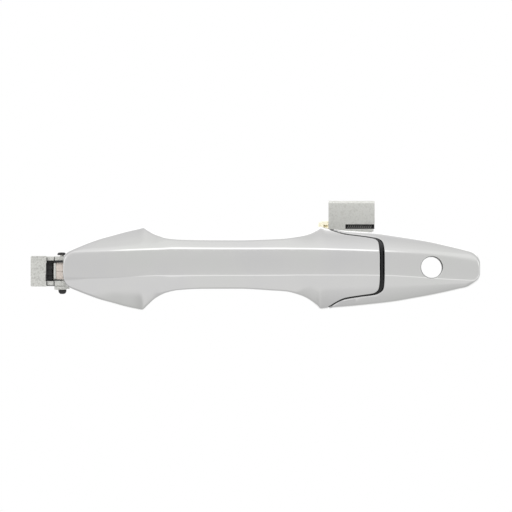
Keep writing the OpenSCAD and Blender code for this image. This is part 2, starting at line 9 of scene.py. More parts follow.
import bmesh
import bpy
import numpy as np
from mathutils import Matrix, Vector


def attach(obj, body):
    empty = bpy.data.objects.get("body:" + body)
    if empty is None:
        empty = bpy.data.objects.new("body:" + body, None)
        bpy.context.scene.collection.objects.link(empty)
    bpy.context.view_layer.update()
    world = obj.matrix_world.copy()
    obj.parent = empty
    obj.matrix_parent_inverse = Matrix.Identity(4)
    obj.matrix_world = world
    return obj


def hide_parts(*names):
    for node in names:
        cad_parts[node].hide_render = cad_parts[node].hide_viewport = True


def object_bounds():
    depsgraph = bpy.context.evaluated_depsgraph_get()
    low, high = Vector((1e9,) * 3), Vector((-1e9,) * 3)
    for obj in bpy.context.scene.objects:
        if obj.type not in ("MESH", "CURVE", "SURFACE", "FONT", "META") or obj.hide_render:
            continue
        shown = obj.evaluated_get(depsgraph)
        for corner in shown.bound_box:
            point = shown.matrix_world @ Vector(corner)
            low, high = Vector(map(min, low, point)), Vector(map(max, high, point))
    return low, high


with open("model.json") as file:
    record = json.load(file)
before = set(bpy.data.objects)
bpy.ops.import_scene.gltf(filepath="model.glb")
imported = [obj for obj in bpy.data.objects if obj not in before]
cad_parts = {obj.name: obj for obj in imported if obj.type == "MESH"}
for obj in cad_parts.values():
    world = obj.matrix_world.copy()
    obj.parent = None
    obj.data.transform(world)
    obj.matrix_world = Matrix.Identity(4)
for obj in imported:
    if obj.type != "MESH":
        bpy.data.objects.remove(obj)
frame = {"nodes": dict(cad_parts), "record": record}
cad_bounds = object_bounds()

MM = 0.001
scene = bpy.context.scene
BODY_OF = {n: b for b, ns in frame["record"]["behaviour"]["bodies"].items() for n in ns}
SLOT_OF = {s["node"]: s["material_slot"] for s in frame["record"]["subparts"]}

# ---- camera and stage -------------------------------------------------------------------------------
low, high = cad_bounds
LENGTH = high[0] - low[0]
FRAME_WIDTH = LENGTH * 1.1375
CAMERA_DISTANCE = 9.0
VIEW_X = (low[0] + high[0]) / 2 + 0.0004
VIEW_Z = 0.0062

camera = bpy.data.objects.new("camera", bpy.data.cameras.new("camera"))
camera.data.sensor_width = 36.0
camera.data.lens = camera.data.sensor_width * CAMERA_DISTANCE / FRAME_WIDTH
camera.data.clip_end = 50.0
camera.location = (VIEW_X, -CAMERA_DISTANCE - 0.015, VIEW_Z)
camera.rotation_euler = (math.pi / 2, 0, 0)
scene.collection.objects.link(camera)
scene.camera = camera
scene.view_settings.view_transform = "Standard"


# ---- node helpers -----------------------------------------------------------------------------------
def add_node(tree, kind, inputs=None, **settings):
    """A node of this kind with its settings and its unlinked or linked inputs."""
    node = tree.nodes.new(kind)
    for key, value in settings.items():
        setattr(node, key, value)
    for key, value in (inputs or {}).items():
        if kind == "ShaderNodeMix" and key in ("A", "B"):
            key = 6 if key == "A" else 7
        if isinstance(value, bpy.types.NodeSocket):
            tree.links.new(value, node.inputs[key])
        else:
            node.inputs[key].default_value = value
    return node


def ramp(tree, factor, stops, interpolation="LINEAR"):
    """A colour ramp over factor, with stops as (position, value or colour)."""
    node = add_node(tree, "ShaderNodeValToRGB", {"Fac": factor})
    node.color_ramp.interpolation = interpolation
    elements = node.color_ramp.elements
    while len(elements) > 1:
        elements.remove(elements[0])
    for i, (position, value) in enumerate(stops):
        element = elements[0] if i == 0 else elements.new(position)
        element.position = position
        colour = (value,) * 3 if isinstance(value, (int, float)) else value
        element.color = (*colour, 1.0)
    return node.outputs["Color"]


# ---- studio -----------------------------------------------------------------------------------------
# Brightness of the studio by the height of a direction, from straight down to straight up
STUDIO_IN_FRONT = [(-1.0, 0.76), (-0.6, 0.765), (-0.4, 0.78), (-0.16, 0.70), (0.0, 0.685),
                   (0.17, 0.69), (0.3, 0.73), (0.42, 0.79), (0.5, 0.86), (0.75, 0.89),
                   (1.0, 0.85)]
UPPER_LAMP = [(0.17, 0.0), (0.24, 1.0), (0.42, 1.0), (0.5, 0.25), (0.62, 0.08), (0.75, 0.0)]
LOWER_LAMP = [(-0.48, 0.0), (-0.4, 1.0), (-0.24, 1.0), (-0.16, 0.0)]
UPPER_LAMP_LIGHT, LOWER_LAMP_LIGHT = 0.7, 0.27
STUDIO_BEHIND = [(-1.0, 0.74), (-0.97, 0.69), (-0.85, 0.60), (-0.5, 0.45), (0.0, 0.50),
                 (0.3, 0.62), (0.7, 0.72), (1.0, 0.84)]
FULL_SCALE = 2.0
LEFT_LIGHT, RIGHT_LIGHT = 0.32, 0.4
# Where each lamp comes up from the left and fades to the right, in the X of a direction
UPPER_LAMP_ENDS = (-0.79, -0.735, 0.38, 0.56)
LOWER_LAMP_ENDS = (-0.72, -0.62, 2.0, 3.0)
LOWER_LAMP_LEFT_LEVEL = -0.4
# Where the side lights begin and are full, and where the zone behind begins and ends, in Y
LEFT_LIGHT_EDGE, RIGHT_LIGHT_EDGE = (-0.96, -0.88), (0.86, 0.94)
BEHIND_BEGINS, BEHIND_ENDS = (-0.02, 0.22), (0.75, 0.92)


def build_studio():
    """A pale tent: white where the camera sees it, and graded in what the object reflects."""
    world = bpy.data.worlds.new("studio")
    scene.world = world
    world.use_nodes = True
    tree = world.node_tree
    tree.nodes.clear()
    way = add_node(tree, "ShaderNodeTexCoord").outputs["Generated"]
    axes = add_node(tree, "ShaderNodeSeparateXYZ", {"Vector": way})
    height = add_node(tree, "ShaderNodeMath", {0: axes.outputs["Z"], 1: 0.5, 2: 0.5},
                      operation="MULTIPLY_ADD").outputs[0]

    def graded(stops):
        """Brightness by height, from a table of stops."""
        return ramp(tree, height, [((h + 1) / 2, v / FULL_SCALE) for h, v in stops])

    def step(source, start, end, low_value=0.0, high_value=1.0):
        """A smooth change from one value to another."""
        return add_node(tree, "ShaderNodeMapRange", {"Value": source, "From Min": start,
                        "From Max": end, "To Min": low_value, "To Max": high_value},
                        interpolation_type="SMOOTHSTEP").outputs["Result"]

    def lamp(stops, ends, light, left_level=0.0):
        """A long lamp that fades out towards its left and right ends."""
        left = step(axes.outputs["X"], *ends[:2], left_level)
        right = step(axes.outputs["X"], *ends[2:], light, 0.0)
        mask = add_node(tree, "ShaderNodeMath", {0: left, 1: right}, operation="MULTIPLY")
        band = ramp(tree, height, [((h + 1) / 2, v) for h, v in stops])
        return add_node(tree, "ShaderNodeMath", {0: mask.outputs[0], 1: band},
                        operation="MULTIPLY").outputs[0]

    def added(a, b):
        """The sum of two values."""
        return add_node(tree, "ShaderNodeMath", {0: a, 1: b}, operation="ADD").outputs[0]

    front = add_node(tree, "ShaderNodeMath", {0: graded(STUDIO_IN_FRONT), 1: FULL_SCALE},
                     operation="MULTIPLY").outputs[0]
    front = added(front, lamp(UPPER_LAMP, UPPER_LAMP_ENDS, UPPER_LAMP_LIGHT))
    front = added(front, lamp(LOWER_LAMP, LOWER_LAMP_ENDS, LOWER_LAMP_LIGHT,
                              LOWER_LAMP_LEFT_LEVEL))
    behind = add_node(tree, "ShaderNodeMath", {0: graded(STUDIO_BEHIND), 1: FULL_SCALE},
                      operation="MULTIPLY").outputs[0]
    leave_front = step(axes.outputs["Y"], *BEHIND_BEGINS)
    far_back = step(axes.outputs["Y"], *BEHIND_ENDS)
    edge_zone = add_node(tree, "ShaderNodeMath", {0: leave_front, 1: far_back},
                         operation="SUBTRACT").outputs[0]
    both = add_node(tree, "ShaderNodeMix", {"Factor": edge_zone, "A": front, "B": behind},
                    data_type="RGBA").outputs[2]
    left_side = step(axes.outputs["X"], *LEFT_LIGHT_EDGE, LEFT_LIGHT, 0.0)
    right_side = step(axes.outputs["X"], *RIGHT_LIGHT_EDGE, 0.0, RIGHT_LIGHT)
    level = added(added(both, left_side), right_side)
    tent = add_node(tree, "ShaderNodeBackground", {"Color": level})
    white = add_node(tree, "ShaderNodeBackground", {"Color": (1, 1, 1, 1), "Strength": 1.0})
    seen = add_node(tree, "ShaderNodeLightPath").outputs["Is Camera Ray"]
    mixed = add_node(tree, "ShaderNodeMixShader", {0: seen, 1: tent.outputs[0],
                                                   2: white.outputs[0]})
    add_node(tree, "ShaderNodeOutputWorld", {"Surface": mixed.outputs[0]})


def build_floor():
    """A round pale floor well below the object, whose rim fades into the white tent."""
    radius, spokes, floor_z = 0.52, 64, -0.162
    mesh = bpy.data.meshes.new("floor")
    bm = bmesh.new()
    centre = bm.verts.new((0, 0, 0))
    rim = [bm.verts.new((radius * math.cos(a), radius * math.sin(a), 0))
           for a in (2 * math.pi * i / spokes for i in range(spokes))]
    for i in range(spokes):
        bm.faces.new((centre, rim[i], rim[(i + 1) % spokes]))
    bm.to_mesh(mesh)
    bm.free()
    floor = bpy.data.objects.new("floor", mesh)
    floor.location = (VIEW_X, 0, floor_z)
    scene.collection.objects.link(floor)
    mat = bpy.data.materials.new("pale_floor")
    mat.use_nodes = True
    tree = mat.node_tree
    tree.nodes.clear()
    place = add_node(tree, "ShaderNodeTexCoord").outputs["Object"]
    away = add_node(tree, "ShaderNodeVectorMath", {0: place}, operation="LENGTH").outputs["Value"]
    fade = add_node(tree, "ShaderNodeMapRange", {"Value": away, "From Min": radius * 0.35,
                    "From Max": radius * 0.98}, interpolation_type="SMOOTHSTEP")
    pale = add_node(tree, "ShaderNodeBsdfDiffuse", {"Color": (0.82, 0.82, 0.815, 1)})
    glow = add_node(tree, "ShaderNodeEmission", {"Color": (1, 1, 1, 1), "Strength": 1.0})
    mixed = add_node(tree, "ShaderNodeMixShader", {0: fade.outputs["Result"],
                                                   1: pale.outputs[0], 2: glow.outputs[0]})
    add_node(tree, "ShaderNodeOutputMaterial", {"Surface": mixed.outputs[0]})
    mesh.materials.append(mat)
    floor.visible_glossy = False


def add_soft_light(name, place, aim, size, power):
    """A large soft area light that points at a place on the object."""
    light = bpy.data.lights.new(name, "AREA")
    light.shape = "DISK"
    light.size = size
    light.energy = power
    obj = bpy.data.objects.new(name, light)
    obj.location = place
    obj.rotation_euler = (Vector(aim) - Vector(place)).to_track_quat("-Z", "Y").to_euler()
    obj.visible_glossy = False
    scene.collection.objects.link(obj)


# ---- materials --------------------------------------------------------------------------------------
def start_material(name, colour, metallic, roughness, **sockets):
    """A Principled material; returns it with its tree, its shader and its place vector."""
    mat = bpy.data.materials.new(name)
    mat.use_nodes = True
    tree = mat.node_tree
    shader = tree.nodes["Principled BSDF"]
    shader.inputs["Base Color"].default_value = (*colour, 1)
    shader.inputs["Metallic"].default_value = metallic
    shader.inputs["Roughness"].default_value = roughness
    for key, value in sockets.items():
        shader.inputs[key].default_value = value
    place = add_node(tree, "ShaderNodeTexCoord").outputs["Object"]
    return mat, tree, shader, place


def vary(tree, shader, place, colours, scale, detail=3.0):
    """Drifts the base colour between two or more colours with a noise."""
    noise = add_node(tree, "ShaderNodeTexNoise", {"Vector": place, "Scale": scale,
                                                  "Detail": detail}).outputs["Fac"]
    stops = [(0.3 + 0.4 * i / (len(colours) - 1), c) for i, c in enumerate(colours)]
    tree.links.new(ramp(tree, noise, stops), shader.inputs["Base Color"])
    return noise


def rough_between(tree, shader, source, low_value, high_value):
    """Lets a texture move the roughness between two values."""
    spread = add_node(tree, "ShaderNodeMapRange", {"Value": source, "From Min": 0.3,
                      "From Max": 0.7, "To Min": low_value, "To Max": high_value})
    tree.links.new(spread.outputs["Result"], shader.inputs["Roughness"])


def bump(tree, shader, height, distance, strength=1.0, base=None):
    """Adds a bump of this depth in metres, on top of another if one is given."""
    inputs = {"Height": height, "Distance": distance, "Strength": strength}
    if base is not None:
        inputs["Normal"] = base
    node = add_node(tree, "ShaderNodeBump", inputs)
    tree.links.new(node.outputs["Normal"], shader.inputs["Normal"])
    return node.outputs["Normal"]


def bright_plate():
    """Bright plating: nearly smooth, with faint tints and a fine waviness."""
    mat, tree, shader, place = start_material("bright_plate", (0.82, 0.82, 0.81), 1.0, 0.11)
    vary(tree, shader, place, [(0.800, 0.797, 0.800), (0.822, 0.820, 0.812),
                               (0.815, 0.822, 0.803)], 28, 2.0)
    fine = add_node(tree, "ShaderNodeTexNoise", {"Vector": place, "Scale": 420.0,
                                                 "Detail": 3.0}).outputs["Fac"]
    rough_between(tree, shader, fine, 0.10, 0.15)
    wave = add_node(tree, "ShaderNodeTexNoise", {"Vector": place, "Scale": 130.0,
                                                 "Detail": 1.0}).outputs["Fac"]
    bump(tree, shader, wave, 0.00001)
    return mat


def die_cast(name, shade, spread):
    """As-cast zinc: pale, mottled and finely pitted; shade and spread set its tones."""
    mat, tree, shader, place = start_material(name, (0.6, 0.6, 0.57), 0.55, 0.42)
    tones = [tuple(shade * (1 + spread * d) * c for c in tint)
             for d, tint in ((-1, (1, 1.005, 0.94)), (0, (1, 1, 0.95)), (1, (1, 1.005, 0.96)),
                             (-0.3, (1, 1.01, 0.95)))]
    vary(tree, shader, place, tones, 900, 6.0)
    mottle = add_node(tree, "ShaderNodeTexNoise", {"Vector": place, "Scale": 900.0,
                                                   "Detail": 6.0}).outputs["Fac"]
    rough_between(tree, shader, mottle, 0.34, 0.56)
    pits = add_node(tree, "ShaderNodeTexVoronoi", {"Vector": place, "Scale": 1500.0})
    first = bump(tree, shader, mottle, 0.00006, 0.7)
    bump(tree, shader, pits.outputs["Distance"], 0.00003, 0.4, first)
    return mat


def moulded(name, colour, light, roughness, grain, depth, metallic=0.0, **sockets):
    """Moulded plastic or rubber with a fine grain and slight changes of tone."""
    mat, tree, shader, place = start_material(name, colour, metallic, roughness, **sockets)
    noise = vary(tree, shader, place, [colour, light], grain * 0.12, 4.0)
    rough_between(tree, shader, noise, roughness * 0.88, min(1.0, roughness * 1.15))
    skin = add_node(tree, "ShaderNodeTexNoise", {"Vector": place, "Scale": grain,
                                                 "Detail": 4.0}).outputs["Fac"]
    bump(tree, shader, skin, depth, 0.8)
    return mat


def plated_steel():
    """Zinc-plated steel: satin, with faint warm and blue drifts."""
    mat, tree, shader, place = start_material("plated_steel", (0.66, 0.66, 0.64), 1.0, 0.3)
    noise = vary(tree, shader, place, [(0.60, 0.62, 0.65), (0.68, 0.67, 0.63),
                                       (0.63, 0.64, 0.62)], 300, 3.0)
    rough_between(tree, shader, noise, 0.24, 0.38)
    lines = add_node(tree, "ShaderNodeTexNoise", {"Vector": place, "Scale": 2600.0,
                                                  "Detail": 2.0}).outputs["Fac"]
    bump(tree, shader, lines, 0.000012, 0.6)
    return mat


def spring_steel():
    """Drawn spring wire, dark and oiled."""
    mat, tree, shader, place = start_material("spring_steel", (0.3, 0.3, 0.31), 1.0, 0.28)
    noise = vary(tree, shader, place, [(0.25, 0.25, 0.27), (0.36, 0.36, 0.36)], 700, 3.0)
    rough_between(tree, shader, noise, 0.22, 0.36)
    bump(tree, shader, noise, 0.00001, 0.5)
    return mat


MATERIALS = {
    "bright_plate": bright_plate(),
    # a darker copy of the plating for the key hole's wall: painted shade inside the hole
    "hole_shade_plate": moulded("hole_shade_plate", (0.34, 0.34, 0.34), (0.42, 0.42, 0.41), 0.22, 700,
                           0.000005, 1.0),
    "die_cast": die_cast("die_cast", 0.6, 0.1),
    "bracket_cast": die_cast("bracket_cast", 0.49, 0.2),
    "base_plastic": moulded("base_plastic", (0.022, 0.022, 0.024), (0.036, 0.036, 0.037),
                            0.5, 2200, 0.00004),
    "core_plastic": moulded("core_plastic", (0.085, 0.086, 0.09), (0.12, 0.12, 0.125),
                            0.48, 1500, 0.00003),
    "cream_nylon": moulded("cream_nylon", (0.95, 0.89, 0.68), (0.98, 0.94, 0.78), 0.4, 900,
                           0.00002),
    "blush_nylon": moulded("blush_nylon", (0.56, 0.50, 0.45), (0.64, 0.57, 0.52), 0.4, 900,
                           0.00002),
    "black_rubber": moulded("black_rubber", (0.006, 0.006, 0.007), (0.016, 0.016, 0.017),
                            0.42, 1800, 0.00003),
    "seal_rubber": moulded("seal_rubber", (0.004, 0.004, 0.005), (0.009, 0.009, 0.010), 0.24,
                           900, 0.00002, **{"Specular IOR Level": 0.35}),
    # a lighter grey copy of the pad's rubber for its ribs: painted light on the rib faces
    "lit_rib_rubber": moulded("lit_rib_rubber", (0.13, 0.13, 0.125), (0.24, 0.24, 0.23), 0.5, 2600,
                          0.00004),
    "plated_steel": plated_steel(),
    "spring_steel": spring_steel(),
}
OWN_MATERIAL = {"hinge_bush_upper": "blush_nylon", "hinge_bush_lower": "blush_nylon",
                "hinge_bracket": "bracket_cast"}


def material_of(node):
    """The material of a CAD node: its own, or that of its slot."""
    return MATERIALS[OWN_MATERIAL.get(node, SLOT_OF[node])]


# ---- shape tables, as [x, value] --------------------------------------------------------------------
TOP = [(-205.1, 3.2), (-204.9, 4.8), (-204.2, 6.6), (-203, 8.1), (-201, 9.4), (-197.7, 11),
       (-191, 13.8), (-184.3, 16.2), (-177.7, 18.1), (-171, 20), (-164.3, 21.6),
       (-160.6, 22.3), (-157.7, 20.7),
       (-154.3, 18.7), (-151, 17.4), (-147.7, 16.3), (-141, 15.5), (-127, 15.2), (-107, 15.2),
       (-87.7, 15.75), (-81, 16.2), (-74.3, 17.3), (-71, 18.1), (-67.7, 19.3), (-64.3, 21.1),
       (-61.6, 22.4), (-57.4, 21.4), (-44.3, 20.4), (-31, 19.5), (-21, 18.1), (-11, 16.5),
       (-1, 14.7), (9, 12.35), (15.7, 10.6), (19, 9.65), (22.3, 8.6), (25.7, 6), (27, 2.9)]
BOTTOM = [(-205.1, -5.5), (-204.9, -7), (-204.3, -8.4), (-203.3, -9.9), (-201, -11.6),
          (-197.7, -13.1), (-191, -15.8), (-184.3, -18.2), (-177.7, -20), (-171, -21.9),
          (-164.3, -23.4), (-161.2, -23.9),
          (-157.7, -21.1), (-154.3, -17.9), (-151, -15.8), (-147.7, -14.3), (-141, -12.8),
          (-127, -12.1), (-107, -12.1), (-87.7, -13.1), (-81, -13.6), (-74.3, -15.3),
          (-71, -16.6), (-67.7, -18.5), (-64.3, -21.2), (-61.6, -23.4), (-57.4, -23),
          (-44.3, -21.95), (-31, -20.6), (-21, -19.4), (-11, -17.7), (-1, -15.9), (9, -13.8),
          (15.7, -12.2), (19, -11.5), (22.3, -9.9), (25.7, -7.15), (27, -4.3)]
CREST = [(-204.7, -5), (-200, -7.5), (-190, -13), (-175, -20.5), (-160, -27), (-145, -32),
         (-130, -35), (-110, -36), (-90, -35.5), (-70, -33), (-57, -31), (-30, -26.5),
         (-10, -21.5), (5, -17), (15, -13), (22, -10), (27, -8)]
SIDE = [(-204.7, -3), (-165, -4), (-157, -12), (-150, -22), (-143, -27), (-125, -29),
        (-95, -29), (-80, -27), (-70, -18), (-64, -8), (-57, -5), (27, -3.5)]
BACK = [(-204.7, -1.5), (-161, -1.5), (-157, -3), (-153, -9), (-149, -15), (-143, -19),
        (-125, -20), (-95, -20), (-80, -19), (-72, -15), (-67, -9), (-62, -3), (-58, -1.5),
        (-28, -1.5)]
CURL = [(-204.7, 0.3), (-160, 0.3), (-148, 1.5), (-138, 3), (-85, 3), (-75, 1.5), (-62, 0.3),
        (27, 0.3)]
UPPER_CREASE = [(-204.7, 8.4), (-187, 8.8), (-179, 9.35), (-170, 9.95), (-156, 10.5),
                (-140, 11), (-73, 10.9), (-51, 10.4), (-20, 9.2), (-4, 8), (10, 6.9), (27, 4.8)]
LOWER_CREASE = [(-204.7, -6.4), (-184, -6.2), (-156, -4.9), (-140, -4.75), (-104, -4.75),
                (-85, -4.55), (-37, -4.55), (-20, -4.9), (-12, -5.4), (10, -6.9), (27, -7.6)]
# Half-width over which each crease turns
UPPER_SOFT = [(-204.7, 0.8), (-196, 0.6), (-186, 0.45), (-176, 0.36), (-34, 0.34), (-10, 0.4),
              (5, 0.8), (27, 1.5)]
LOWER_SOFT = [(-204.7, 0.9), (-192, 0.3), (-180, 0.16), (22, 0.16), (27, 0.3)]
TONGUE = [(-57.2, 24), (-57.1, 21.1), (-53.8, 19.65), (-48.2, 18.1), (-39.9, 17),
          (-34.3, 16.2), (-31.7, 15.55), (-30.2, 14.6), (-29.5, 13), (-29.15, 10), (-28.95, 6),
          (-28.95, 0), (-28.85, -6), (-29, -9.2), (-29.35, -11.6), (-30.2, -13.2),
          (-32.6, -14.55), (-38.8, -15.5), (-46, -16.6), (-49.3, -17.4), (-52.7, -19),
          (-56.3, -21.2), (-57.5, -22.1), (-57.8, -25)]
RECESS = [(-56.9, 24), (-56.7, 21.7), (-53.6, 20.15), (-48.1, 18.6), (-39.8, 17.5),
          (-34.2, 16.75), (-31.2, 16.2), (-28.9, 15.35), (-27.5, 14.05), (-26.75, 11.9),
          (-26.45, 8), (-26.4, 0), (-26.45, -7), (-26.65, -10), (-27.05, -12.2),
          (-28.3, -13.8), (-31.7, -15.25), (-38.9, -16.25), (-46.1, -17.35), (-49.5, -18.15),
          (-52.9, -19.75), (-56.3, -21.95), (-56.9, -22.75), (-57, -25)]
UPPER_SLOPE, LOWER_SLOPE = 0.5, 0.34
EDGE_CLEARANCE = 0.1
KEY_HOLE_R = 6.2
# Least distance of a wall's inside from the skin, from the outline and from the key hole
UNDER_SKIN, UNDER_OUTLINE, OFF_HOLE = 0.6, 0.25, 1.0
FIRST_X, LAST_X = -205.1, 27.0


# ---- curves and surfaces ----------------------------------------------------------------------------
def smooth_curve(points, soft=0.0):
    """A function of x through the points with no overshoot, softened over a length."""
    xs, ys = (np.array(c, float) for c in zip(*points))
    step = np.diff(xs)
    rise = np.diff(ys) / step
    product = rise[:-1] * rise[1:]
    total = rise[:-1] + rise[1:]
    inner = np.where(product > 0, 2 * product / np.where(total == 0, 1, total), 0)
    slope = np.concatenate([rise[:1], inner, rise[-1:]])
    fine = np.arange(xs[0] - 12, xs[-1] + 12, 0.1)
    i = np.clip(np.searchsorted(xs, fine) - 1, 0, len(step) - 1)
    u = np.clip((fine - xs[i]) / step[i], 0, 1)
    value = (ys[i] * (1 + 2 * u) * (1 - u) ** 2 + ys[i + 1] * u * u * (3 - 2 * u)
             + step[i] * (slope[i] * u * (1 - u) ** 2 + slope[i + 1] * u * u * (u - 1)))
    value += slope[0] * np.minimum(fine - xs[0], 0) + slope[-1] * np.maximum(fine - xs[-1], 0)
    if soft:
        reach = np.arange(-3 * soft, 3 * soft + 0.05, 0.1)
        weight = np.exp(-0.5 * (reach / soft) ** 2)
        half = len(reach) // 2
        padded = np.concatenate([value[0] + (np.arange(-half, 0)) * (value[1] - value[0]), value,
                                 value[-1] + np.arange(1, half + 1) * (value[-1] - value[-2])])
        value = np.convolve(padded, weight / weight.sum(), mode="valid")[:len(fine)]
    return lambda x: np.interp(x, fine, value)


top, bottom = smooth_curve(TOP, 0.25), smooth_curve(BOTTOM, 0.25)
crest, side, back = smooth_curve(CREST, 5), smooth_curve(SIDE, 2.5), smooth_curve(BACK, 1.5)
curl = smooth_curve(CURL, 3)
upper_crease, lower_crease = smooth_curve(UPPER_CREASE, 5), smooth_curve(LOWER_CREASE, 5)
upper_soft, lower_soft = smooth_curve(UPPER_SOFT, 2), smooth_curve(LOWER_SOFT, 2)


def flowing_line(points, parts=10):
    """Points along a smooth line through the given ones."""
    p = np.array([points[0], *points, points[-1]], float)
    out = []
    for i in range(1, len(p) - 2):
        a, b, c, d = p[i - 1:i + 3]
        for k in range(parts):
            u = k / parts
            out.append(0.5 * (2 * b + (c - a) * u + (2 * a - 5 * b + 4 * c - d) * u * u
                              + (3 * b - a - 3 * c + d) * u ** 3))
    return np.array(out + [p[-1]])


def distance_to(line, x, z):
    """Shortest distance from each point (x, z) to a line of points."""
    best = np.full(x.shape, 1e9)
    for a, b in zip(line[:-1], line[1:]):
        ab = b - a
        t = np.clip(((x - a[0]) * ab[0] + (z - a[1]) * ab[1]) / max(ab @ ab, 1e-12), 0, 1)
        best = np.minimum(best, np.hypot(x - a[0] - t * ab[0], z - a[1] - t * ab[1]))
    return best


def inside(polygon, x, z):
    """Whether each point (x, z) lies inside a closed polygon."""
    odd = np.zeros(x.shape, bool)
    for a, b in zip(polygon, np.roll(polygon, -1, axis=0)):
        if a[1] != b[1]:
            crosses = (a[1] > z) != (b[1] > z)
            odd ^= crosses & (x < (b[0] - a[0]) * (z - a[1]) / (b[1] - a[1]) + a[0])
    return odd


tongue_line, recess_line = flowing_line(TONGUE), flowing_line(RECESS)
outline_x = np.concatenate([np.linspace(FIRST_X, -203, 35), np.arange(-202.8, -164, 0.8),
                            np.arange(-163.6, -155, 0.2), np.arange(-154.8, -66, 0.8),
                            np.arange(-65.6, -58, 0.2), np.arange(-57.6, 22, 0.8),
                            np.linspace(22, LAST_X, 20)])
outline = np.array([*zip(outline_x, top(outline_x)),
                    *zip(outline_x[::-1], bottom(outline_x[::-1]))])
outline = np.vstack([outline, outline[:1]])


def grip_field(x, z):
    """Distance inside the grip from the parting line, negative on the cap's side."""
    far = np.array([(-400.0, -25), (-400.0, 24)])
    within = inside(np.vstack([tongue_line, far]), x, z) | (x < -58.2)
    return np.where(within, 1, -1) * distance_to(tongue_line, x, z)


def cap_field(x, z):
    """Distance inside the cap from the edge of its recess, negative on the tongue's side."""
    far = np.array([(-400.0, -25), (-400.0, 24)])
    within = inside(np.vstack([recess_line, far]), x, z)
    return np.where(within, -1, 1) * distance_to(recess_line, x, z) - EDGE_CLEARANCE


def rollover(distance, reach, depth):
    """Depth added as a surface turns over an edge, from none at reach to depth at the edge."""
    q = np.clip(1 - distance / reach, 0, 1)
    return depth * (1 - np.sqrt(1 - q * q))


def softplus(value, soft):
    """The positive part of a value, with the corner at zero rounded over a length."""
    return soft * np.logaddexp(0, value / soft)


def surface_y(x, z):
    """Depth of the bright outer surface of grip and cap, creases and edges included."""
    c, s, t, b = crest(x), side(x), top(x), bottom(x)
    u = np.minimum(upper_crease(x), t - 1.5)
    l = np.maximum(lower_crease(x), b + 1.5)
    edge_depth = np.clip((s - c) * 0.35, 0.6, 2.6)
    crown = 0.3 * ((z - (u + l) / 2) / 7.5) ** 2
    y = c + crown
    for limit, beyond, slope, soft in ((t, z - u, UPPER_SLOPE, upper_soft(x)),
                                       (b, l - z, LOWER_SLOPE, lower_soft(x))):
        width = np.abs(limit - np.where(limit > 0, u, l))
        crown_end = 0.3 * ((limit - (u + l) / 2) / 7.5) ** 2
        drop = s - c - crown_end - edge_depth
        even = np.minimum(slope, 0.6 * drop / width)
        steepen = (drop - even * width) / width ** 2
        d = softplus(beyond, soft) * width / softplus(width, soft)
        y = y + even * d + steepen * d * d
    inland = np.minimum(x - FIRST_X, LAST_X - x)
    reach = 0.55 + 0.75 * np.clip((inland - 0.8) / 4, 0, 1)
    return y + rollover(distance_to(outline, x, z), reach, edge_depth)


# ---- mesh helpers -----------------------------------------------------------------------------------
def add_piece(name, mesh, node, material=None, body=None):
    """Makes a visible piece that stands for a CAD node, or rides beside it."""
    obj = bpy.data.objects.new(name, mesh)
    scene.collection.objects.link(obj)
    mesh.materials.clear()
    mesh.materials.append(material or material_of(node))
    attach(obj, body or BODY_OF[node])
    return obj


def split_along(bm, field, level):
    """Cuts the faces of a flat sheet along the line where the field has this level."""
    bm.verts.index_update()
    place = np.array([v.co for v in bm.verts])
    value = field(place[:, 0], place[:, 2]) - level
    value[np.abs(value) < 0.004] = 0
    on_line = {v for v, f in zip(bm.verts, value) if f == 0}
    crossing = [(e, value[e.verts[0].index], value[e.verts[1].index]) for e in bm.edges]
    for edge, fa, fb in crossing:
        if fa * fb < 0:
            on_line.add(bmesh.utils.edge_split(edge, edge.verts[0], fa / (fa - fb))[1])
    for face in list(bm.faces):
        hits = [v for v in face.verts if v in on_line]
        if len(hits) == 2 and not bm.edges.get(hits):
            bmesh.utils.face_split(face, hits[0], hits[1])


def drop_faces(bm, field, level=0.0):
    """Removes the faces whose middle lies below a level of the field."""
    faces = list(bm.faces)
    middle = np.array([f.calc_center_median() for f in faces])
    keep = field(middle[:, 0], middle[:, 2]) >= level
    bmesh.ops.delete(bm, geom=[f for f, k in zip(faces, keep) if not k], context="FACES")


def across(x):
    """Heights of one row of the sheet: close together at the creases and at the outline."""
    b, t = bottom(x), top(x)
    l = max(lower_crease(x), b + 1.5)
    u = min(upper_crease(x), t - 1.5)
    near = np.array([0, 0.12, 0.25, 0.4, 0.55, 0.75, 1.0, 1.3, 1.7, 2.2, 2.9])
    edge = np.array([2.2, 1.7, 1.3, 1.0, 0.75, 0.52, 0.34, 0.2, 0.1, 0.03, 0.0])

    def band(start, end):
        """Heights from a crease to the outline."""
        width = abs(end - start)
        scale = min(1, width / 6.5)
        way = math.copysign(1, end - start)
        middle = np.linspace(near[-1] * scale, width - edge[0] * scale, 7)[1:-1]
        return start + way * np.concatenate([near * scale, middle, width - edge * scale])

    half = (u - l) / 2
    scale = min(1, half / 4.5)
    middle = np.linspace(near[-1] * scale, half, 5)[1:]
    rise = np.concatenate([near[1:] * scale, middle])
    centre = np.concatenate([l + rise, (u - rise[::-1])[1:]])
    return np.concatenate([band(l, b)[::-1], centre, band(u, t)])


def sheet(xs):
    """A flat sheet in X and Z, one row for each x."""
    bm = bmesh.new()
    rows = [[bm.verts.new((x, 0, z)) for z in across(x)] for x in xs]
    for r, s in zip(rows[:-1], rows[1:]):
        for j in range(len(r) - 1):
            bm.faces.new((r[j], s[j], s[j + 1], r[j + 1]))
    return bm


def raise_surface(bm, extra):
    """Moves a flat sheet onto the outer surface, with more depth given by extra(x, z)."""
    place = np.array([v.co for v in bm.verts])
    y = surface_y(place[:, 0], place[:, 2]) + extra(place[:, 0], place[:, 2])
    for v, depth in zip(bm.verts, y):
        v.co.y = depth


